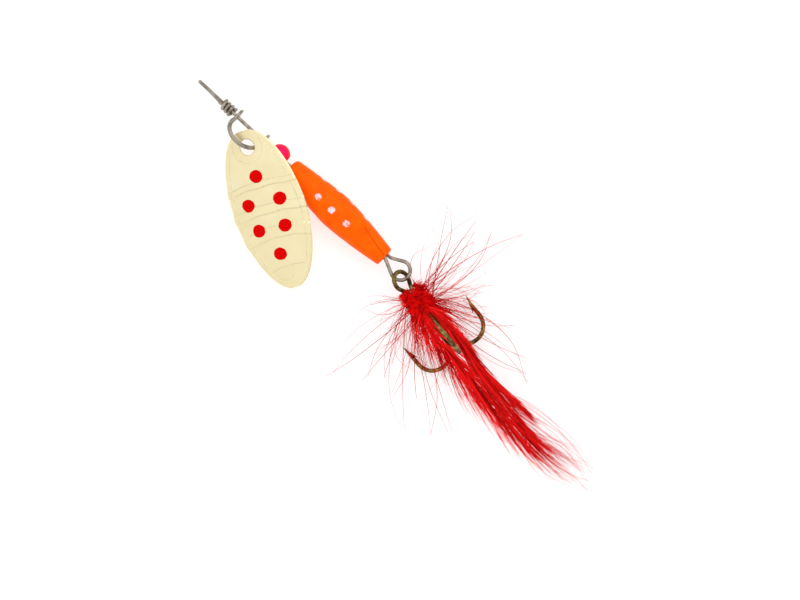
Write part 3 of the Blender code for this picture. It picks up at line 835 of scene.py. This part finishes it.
def make_body():
    """The lacquered spindle with its dimples."""
    length = BODY_SIZE.x / MM
    spots = dimples()
    rings, dot, hair = [], [], []
    for i in range(BODY_STATIONS + 1):
        along = length * i / BODY_STATIONS
        radius = body_section(along)
        ring = []
        for k in range(BODY_SIDES):
            angle = 2 * pi * k / BODY_SIDES
            nearest = 9.0
            for place, way in spots:
                turn = (angle - way + pi) % (2 * pi) - pi
                nearest = min(nearest, hypot(along - place, turn * radius))
            hollow = max(0, 1 - (nearest / (BODY_DOT_RADIUS * 1.25)) ** 2)
            ring.append(radius - DIMPLE_DEPTH * hollow**1.5)
            dot.append(max(0, 1 - nearest / (BODY_DOT_RADIUS * 1.35)))
            hair.append(stray_fibre(along, angle, radius))
        rings.append(body_ring(along - length / 2, ring))
    # Three rings at each end: the bore in front, and the wire's pocket behind
    front, rear = body_end(-1, bore=0.76, deep=3.6), body_end(1, bore=1.6, deep=1.4)
    rings = [*front[::-1], *rings, *rear]
    points = [point for ring in rings for point in ring]
    plain = [0.0] * (3 * BODY_SIDES)
    shape = (points, ring_faces(len(rings), BODY_SIDES), orange)
    marks = {"dot": [*plain, *dot, *plain], "hair": [*plain, *hair, *plain]}
    piece("body_spindle", *shape, "body", "orange_body", ["body_shell"], attributes=marks)


# ---- treble hook


def spoke(direction):
    """The unit vector out from the shank in a direction given in degrees."""
    angle = radians(direction)
    return Vector((0, cos(angle), sin(angle)))


def bend_path(out):
    """One hook from the shank round its bend to the point, in the plane of X and out."""
    centre = X_AXIS * BEND_START + out * (SHANK_SPREAD + GAP_WIDTH / 2)
    points = [X_AXIS * (BEND_START - 3 * MM) + out * SHANK_SPREAD]
    bend_steps, straight_steps = 34, 40
    for i in range(bend_steps + 1):
        angle = pi * i / bend_steps
        along = BEND_DEPTH * sin(angle) ** 0.9
        points.append(centre + X_AXIS * along - out * (GAP_WIDTH / 2 * cos(angle)))
    straight = BEND_START - POINT_AT
    for i in range(1, straight_steps + 1):
        share = i / straight_steps
        reach = SHANK_SPREAD + GAP_WIDTH + POINT_FLARE * share**2
        points.append(X_AXIS * (BEND_START - straight * share) + out * reach)
    return points


def tapered(path, both_ends):
    """Radii along a path whose end, or both of whose ends, are ground to a point."""
    radii = [HOOK_WIRE_RADIUS] * len(path)
    forwards = range(len(path))
    for order in (forwards[::-1], forwards) if both_ends else (forwards[::-1],):
        distance = 0.0
        for i, after in zip(order, order[1:]):
            share = distance / TAPER_LENGTH
            radii[i] = HOOK_WIRE_RADIUS * min(1, 0.03 + 0.97 * share**0.7)
            distance += (path[i] - path[after]).length
            if distance > TAPER_LENGTH:
                break
    return radii


def barb(out):
    """A sliver cut up from the wire's inner side, pointing back towards the bend."""
    end = SHANK_SPREAD + GAP_WIDTH
    root = X_AXIS * (POINT_AT + 2.0 * MM) + out * (end - 0.08 * MM)
    tip = X_AXIS * (POINT_AT + BARB_AT) + out * (end - HOOK_WIRE_RADIUS - 0.5 * MM)
    middle = root.lerp(tip, 0.55) + out * 0.1 * MM
    path = smooth_path([root, middle, tip], 5)
    radii = [0.3 * MM * (1 - i / (len(path) - 1)) ** 0.8 + 0.012 * MM for i in range(len(path))]
    return swept(path, radii, 12, out.cross(X_AXIS), [(0.75, 1)] * len(path))


def make_treble():
    """The pair of hooks bent from one wire that also makes the treble's eye, and the third hook
    brazed to it."""
    right, left, top = (spoke(angle) for angle in SPOKES)
    tilt = Matrix.Rotation(radians(20), 3, "Y") @ Matrix.Rotation(radians(-38), 3, "X")
    ahead, aside = tilt @ X_AXIS, tilt @ Y_AXIS
    eye = arc(Vector(), 2.02 * MM, ahead, aside, 50, 310, 16)
    neck, waist = X_AXIS * SHANK_FRONT, X_AXIS * (BEND_START / 2)
    right_lead = [waist + right * SHANK_SPREAD, neck + right * SHANK_SPREAD]
    left_lead = [neck + left * SHANK_SPREAD, waist + left * SHANK_SPREAD]
    middle = smooth_path([*right_lead, *eye, *left_lead], 5)
    path = [*bend_path(right)[::-1], *middle, *bend_path(left)]
    pair = joined(swept(path, tapered(path, True)), barb(right), barb(left))
    path = [X_AXIS * (SHANK_FRONT + 0.4 * MM) + top * SHANK_SPREAD, *bend_path(top)]
    third = joined(swept(path, tapered(path, False)), barb(top))
    for name, node, (points, faces) in (
        ("treble_pair", "hook_pair", pair),
        ("treble_third", "hook_third", third),
    ):
        points = [SHANK @ point for point in points]
        piece(name, points, faces, bronze, "treble", "bronze_hook", [node])


# ---- dressing


def make_thread():
    """Turns of thread wound side by side over the shank, and over each other at the middle."""
    turns, steps, wound = 26, 30, 0.11 * MM
    path = []
    for i in range(turns * steps + 1):
        share = i / (turns * steps)
        angle = 2 * pi * i / steps
        swell = 0.12 * MM * sin(pi * share)
        out = Vector((0, cos(angle), sin(angle))) * (1.5 * MM + swell)
        path.append(SHANK @ (X_AXIS * (3.3 + 6.0 * share) * MM + out))
    points, faces = swept(path, [wound] * len(path), 8)
    piece("thread_turns", points, faces, thread, "treble", "red_thread", ["thread_wraps"])


def strand_points(root, way, length, curl, sag, count):
    """A fibre from root: it sets off along way and bends by curl and by sag, both vectors."""
    points = []
    for i in range(count):
        t = i / (count - 1)
        points.append(root + way * (length * t) + curl * (length * t**2) + sag * (length * t**3))
    return points


def above_floor(points, clearance):
    """The points, with those too low lifted to just over the clearance. The lowest come to lie
    highest, so that fibres on the floor don't fall together."""
    for point in points:
        if point.z < clearance:
            point.z = clearance + 0.025 * (clearance - point.z)
    return points


def strands_mesh(name, strands, material, slot, replaces=()):
    """Many fibres in one mesh. Each strand is (points, root radius, tip radius, shade)."""
    around = circle(3)
    all_points, all_faces, shades = [], [], []
    for path, thick, thin, shade in strands:
        start, count = len(all_points), len(path)
        tangent = (path[-1] - path[0]).normalized()
        across = tangent.cross(UP if abs(tangent.z) < 0.9 else X_AXIS).normalized()
        third = tangent.cross(across)
        for i, point in enumerate(path):
            t = i / (count - 1)
            radius = thick + (thin - thick) * t**0.8
            all_points += [point + (across * a + third * b) * radius for a, b in around]
            shades += [shade + 0.12 * t] * len(around)
        for face in ring_faces(count, len(around)):
            all_faces.append([start + index for index in face])
    shape = (all_points, all_faces, material)
    piece(name, *shape, "treble", slot, replaces, attributes={"shade": shades})


def around_shank(along, angle, radius):
    """A point round the shank, from millimetres along it, an angle and a radius in millimetres."""
    point = Vector((along, radius * cos(angle), radius * sin(angle)))
    return SHANK @ (point * MM)


def shank_way(forward, angle, outward):
    """A unit direction with a share along the shank and a share out from it."""
    way = Vector((forward, outward * cos(angle), outward * sin(angle)))
    return (SHANK.to_3x3() @ way).normalized()


def random_vector(size):
    return Vector(normal(0, size, 3))


def collar_strands():
    """Short dense fibres that hide the binding: tufts that lie over each other like a cut brush."""
    strands = []
    for _ in range(430):
        along = uniform(2.5, 8.4)
        angle = uniform(0, 2 * pi)
        forward = normal(0.1, 0.35) + 0.3 * (along - 5.4) / 3
        length = uniform(0.9, 1.8)
        shade = uniform(0.55, 1.0) if random.random() < 0.8 else uniform(0.1, 0.4)
        curl = random_vector(0.25) + shank_way(1, 0, 0) * 0.25
        for _ in range(6):
            root = around_shank(along + normal(0, 0.22), angle + normal(0, 0.1), 1.6)
            way = shank_way(forward + normal(0, 0.12), angle + normal(0, 0.15), 1.0)
            reach = length * uniform(0.8, 1.1) * MM
            path = strand_points(root, way, reach, curl, random_vector(0.15), 6)
            path = above_floor(path, 0.1 * MM)
            own = shade + normal(0, 0.07)
            strands.append((path, uniform(0.07, 0.11) * MM, 0.035 * MM, own))
    return strands


# Tips of the longest fibres, in millimetres along the shank and aside from it
FIBRE_TIPS = (
    (5.6, -25.1), (11, -19.5), (24.7, -19.2), (31.3, -11.6), (29, -15.7), (0, 20.1), (4.1, 20.9),
    (8.4, 26.1), (33.4, 6.9), (31.6, 8.2), (29.2, 10.1), (22.2, 12.5), (-0.9, 10.3), (-5.7, 17.6),
    (-0.2, -8.4), (1.6, 18.4), (3.0, 17.2), (13.4, -15.6), (17.8, -16.4), (21.3, -13.2),
)


# A fibre that curls back into a small loop, in millimetres: along and aside from the body's centre,
# and up from the floor
LOOPED_FIBRE = (
    (27.2, -0.9, 6.6), (29.3, -0.5, 7.6), (31.0, 1.4, 8.2), (31.3, 0.7, 8.0), (29.6, -0.2, 7.2),
)


def long_strands():
    """The long loose fibres: the strong ones that stand out, those swept back, finer ones between
    and those under the shank."""
    strands = []
    for along, aside in FIBRE_TIPS:
        for copy in range(2):
            side = 0.0 if aside > 0 else pi
            root = around_shank(uniform(3.4, 8.2), side + normal(0, 0.5), 1.6)
            spread = normal(0, 0.5 * copy + 0.05, 2)
            tip = SHANK @ Vector(((along + spread[0]) * MM, (aside + spread[1]) * MM, 0))
            tip.z = uniform(0.3, 4.5) * MM
            thick = uniform(0.115, 0.14) - 0.035 * copy
            strands.append(bowed(root, tip, 0.08, thick, uniform(0.25, 0.7)))
    # Swept back along the shank, then finer and every way
    swept_back = (95, 0.6, (5.5, 8.8), 1.8, uniform, (0.9, 2.2), 14, 11, 0.14)
    every_way = (120, 0.75, (3.0, 8.6), 1.7, normal, (0.4, 0.75), 18, 14, 0.11)
    for group, thicknesses, shades in (
        (swept_back, (0.06, 0.1), (0.25, 0.75)),
        (every_way, (0.04, 0.07), (0.2, 0.7)),
    ):
        count, spread, places, radius, draw, forward, longest, highest, bend = group
        for _ in range(count):
            angle = random.choice((0.0, pi)) + normal(0, spread)
            root = around_shank(uniform(*places), angle, radius)
            way = shank_way(draw(*forward), angle, 1.0)
            tip = root + way * uniform(5, longest) * MM
            lowest = uniform(0.2, 1.2) * MM
            tip.z = min(max(tip.z, lowest), uniform(6, highest) * MM)
            thick, shade = uniform(*thicknesses), uniform(*shades)
            strands.append(bowed(root, tip, bend, thick, shade))
    for _ in range(110):
        angle = -pi / 2 + normal(0, 0.8)
        root = around_shank(uniform(6.5, 8.8), angle, 1.9)
        way = shank_way(uniform(3.5, 8), angle, 1.0)
        tip = root + way * uniform(8, 15) * MM
        thick, shade = uniform(0.07, 0.1), uniform(0.3, 0.9)
        strands.append(bowed(root, tip, 0.05, thick, shade))
    looped = [above_table(*place) for place in LOOPED_FIBRE]
    strands.append((smooth_path(looped, 6), 0.09 * MM, 0.06 * MM, 0.5))
    return strands


def bowed(root, tip, bend, thick, shade):
    """A fibre from root to tip that bows aside and droops a little."""
    reach = (tip - root).length
    aside = (tip - root).cross(UP).normalized() * normal(0, bend) * reach
    lift = UP * abs(normal(0, 0.08)) * reach
    first = root.lerp(tip, 0.33) + aside + lift
    second = root.lerp(tip, 0.7) + aside * 1.1 + lift * 0.8
    path = above_floor(smooth_path([root, first, second, tip], 5), 0.12 * MM)
    return path, thick * MM, thick * 0.35 * MM, shade


# Routes of the tail's feathers, each from behind the collar to its tip, in millimetres: along and
# aside from the body's centre, and up from the floor
FEATHER_ROUTES = (
    ((29.4, -1.3, 7.4), (36, -1.8, 7.8), (43, -3.1, 6.6), (53, -3.5, 3.9), (64, -3.4, 1.9)),
    (
        (29.4, -1.3, 6.3), (36, -1.9, 6.6), (43, -3.6, 5.5),
        (54, -5.3, 2.9), (65, -6.2, 1.5), (76, -3.2, 1.1),
    ),
    (
        (29.4, -4.3, 7.4), (36, -5.4, 7.5), (43, -6.1, 4.7),
        (54, -6.9, 2.0), (66, -7.7, 0.95), (77.9, -6.1, 0.6),
    ),
    (
        (29.4, -4.5, 6.3), (36, -5.7, 6.35), (43, -6.7, 3.7),
        (53, -7.7, 1.3), (63, -8.9, 0.4), (73.4, -8.3, 0.3),
    ),
)


def feather_strands(route, barbs, reach, opening, dense_to, wisps):
    """A feather: a quill, barbs in clumps that leave it at a low angle and sweep back almost along
    it, and wisps at its tip. opening holds the slope of the barbs on each side, and dense_to is the
    share of its length that the barbs fill."""
    points = [above_table(*place) for place in route]
    upper = route[0][2] > 7
    points.insert(0, SHANK @ Vector((6.0 * MM, 0, 1.6 * MM if upper else 0)))
    path = smooth_path(points, 12)
    last = len(path) - 1
    whole = (points[-1] - points[0]).length
    strands = [(path[: int(len(path) * 0.93)], 0.18 * MM, 0.04 * MM, 0.3)]
    left_in_clump, steps = 0, 7
    for number in range(barbs):
        if left_in_clump == 0:
            left_in_clump = int(random.integers(4, 11))
            bright = random.random() < 0.72
            shade = uniform(0.55, 1.05) if bright else uniform(0.0, 0.35)
            side = 1 if random.random() < 0.5 else -1
            slope = uniform(0.0, 1.0) ** 0.8 * opening[side > 0]
            lift = normal(0, 0.2)
        left_in_clump -= 1
        t = 0.03 + 0.82 * dense_to * (number / barbs) ** 0.9 + normal(0, 0.006)
        i = min(last - 1, max(1, int(t * last)))
        along = (path[i + 1] - path[i - 1]).normalized()
        level = UP.cross(along).normalized()
        lean = (slope + normal(0, 0.025)) * (1.6 - 1.3 * t)
        out = level * side + UP * (lift + normal(0, 0.08))
        way = (along + out * lean).normalized()
        # Barbs end raggedly, within the last part of the length that they fill.
        room = (dense_to - 0.12 * uniform(0, 1) ** 0.7 - t) * whole
        length = min(reach * MM * uniform(0.7, 1.3) * min(1, 0.55 + 1.2 * t), room)
        length = max(length, 2.5 * MM)
        strand = []
        for k in range(steps):
            share = k / (steps - 1)
            ahead = min(last, i + int(share * length / whole * last))
            curved = path[ahead] - path[i] + out * lean * length * (0.6 * share)
            strand.append(path[i] + (way * length * share).lerp(curved, 0.7 * share**1.2))
        strand = above_floor(strand, 0.08 * MM)
        own = shade + normal(0, 0.06)
        strands.append((strand, uniform(0.06, 0.095) * MM, 0.03 * MM, own))
    for _ in range(wisps):
        i = int(uniform(0.62, 0.9) * dense_to * last)
        along = (path[-1] - path[i]).normalized()
        level = UP.cross(along)
        tip = path[-1] + along * uniform(-6, 1.5) * MM + level * normal(0, 1.2) * MM
        tip.z = max(tip.z, uniform(0.15, 1.5) * MM)
        thick, shade = uniform(0.07, 0.1), uniform(0.3, 0.7)
        strands.append(bowed(path[i], tip, 0.06, thick, shade))
    return strands


def make_dressing():
    """The hackle's collar and long fibres, and the tail's four feathers."""
    strands_mesh("collar_fibres", collar_strands(), hackle, "red_hackle", ["hackle_collar"])
    strands_mesh("long_fibres", long_strands(), hackle, "red_hackle", ["hackle_fan"])
    # Of each feather: barbs, their length in millimetres, opening, dense_to and wisps
    shapes = (
        (640, 11, (0.22, 0.11), 1.0, 3),
        (540, 10, (0.3, 0.12), 0.95, 20),
        (560, 11, (0.36, 0.3), 0.93, 20),
        (540, 11, (0.5, 0.22), 0.95, 22),
    )
    for number, (route, shape) in enumerate(zip(FEATHER_ROUTES, shapes), start=1):
        strands = feather_strands(route, *shape)
        node = f"tail_feather_{number}"
        strands_mesh(f"feather_{number}", strands, feather, "red_feather", [node])


# ---- stage


def make_sky(scene):
    """A soft sky, darker below the horizon."""
    world = bpy.data.worlds.new("studio")
    scene.world = world
    world.use_nodes = True
    nodes, links = world.node_tree.nodes, world.node_tree.links
    place = nodes.new("ShaderNodeTexCoord")
    split = nodes.new("ShaderNodeSeparateXYZ")
    ramp = nodes.new("ShaderNodeValToRGB")
    sky = nodes["Background"]
    links.new(place.outputs["Generated"], split.inputs["Vector"])
    links.new(split.outputs["Z"], ramp.inputs["Fac"])
    links.new(ramp.outputs["Color"], sky.inputs["Color"])
    ramp.color_ramp.elements[0].color = (0.72, 0.72, 0.72, 1)
    ramp.color_ramp.elements[1].position = 0.55
    ramp.color_ramp.elements[1].color = (1, 1, 1, 1)
    sky.inputs["Strength"].default_value = 0.97


def make_stage():
    """A pale table, a soft sky of light, one large lamp and the camera straight above."""
    scene = bpy.context.scene
    scene.view_settings.view_transform = "Standard"
    make_sky(scene)
    lamp = bpy.data.lights.new("softbox", "AREA")
    lamp.size = 0.35
    lamp.energy = 0.6
    softbox = bpy.data.objects.new("softbox", lamp)
    softbox.location = (-0.12, 0.3, 0.5)
    softbox.rotation_euler = (-softbox.location).to_track_quat("-Z", "Y").to_euler()
    scene.collection.objects.link(softbox)
    half, below = 1.2, -0.05 * MM
    corners = [(x * half, y * half, below) for x, y in ((-1, -1), (1, -1), (1, 1), (-1, 1))]
    mesh = bpy.data.meshes.new("table")
    mesh.from_pydata(corners, [], [(0, 1, 2, 3)])
    mesh.materials.append(floor_paint())
    table = bpy.data.objects.new("table", mesh)
    scene.collection.objects.link(table)
    # The camera looks straight down, turned so that the lure lies across the picture.
    view_width, turn = 168 * MM, 43.3
    camera = bpy.data.cameras.new("camera")
    camera.lens = 110
    camera.sensor_width = 36
    distance = view_width * camera.lens / camera.sensor_width
    eye = bpy.data.objects.new("camera", camera)
    eye.location = at(22.23, -4.58) + UP * distance
    eye.rotation_euler = (0, 0, radians(turn))
    scene.collection.objects.link(eye)
    scene.camera = eye


steel = steel_paint()
gold = blade_paint()
enamel = dot_paint()
orange = body_paint()
pink = bead_paint()
bronze = bronze_paint()
thread = thread_paint()
hackle = fibre_paint("dyed_hackle", (0.11, 0.0, 0.0), (0.52, 0.0, 0.0), (0.9, 0.003, 0.003), 0.2)
feather = fibre_paint("dyed_feather", (0.26, 0.0, 0.0), (0.6, 0.0, 0.0), (0.93, 0.01, 0.01), 0.2)

make_shaft()
make_clevis()
make_blade()
make_dots()
make_bead()
make_body()
make_treble()
make_thread()
make_dressing()
frame["nodes"]["body_weight"].data.materials.clear()
frame["nodes"]["body_weight"].data.materials.append(brass_paint())
make_stage()
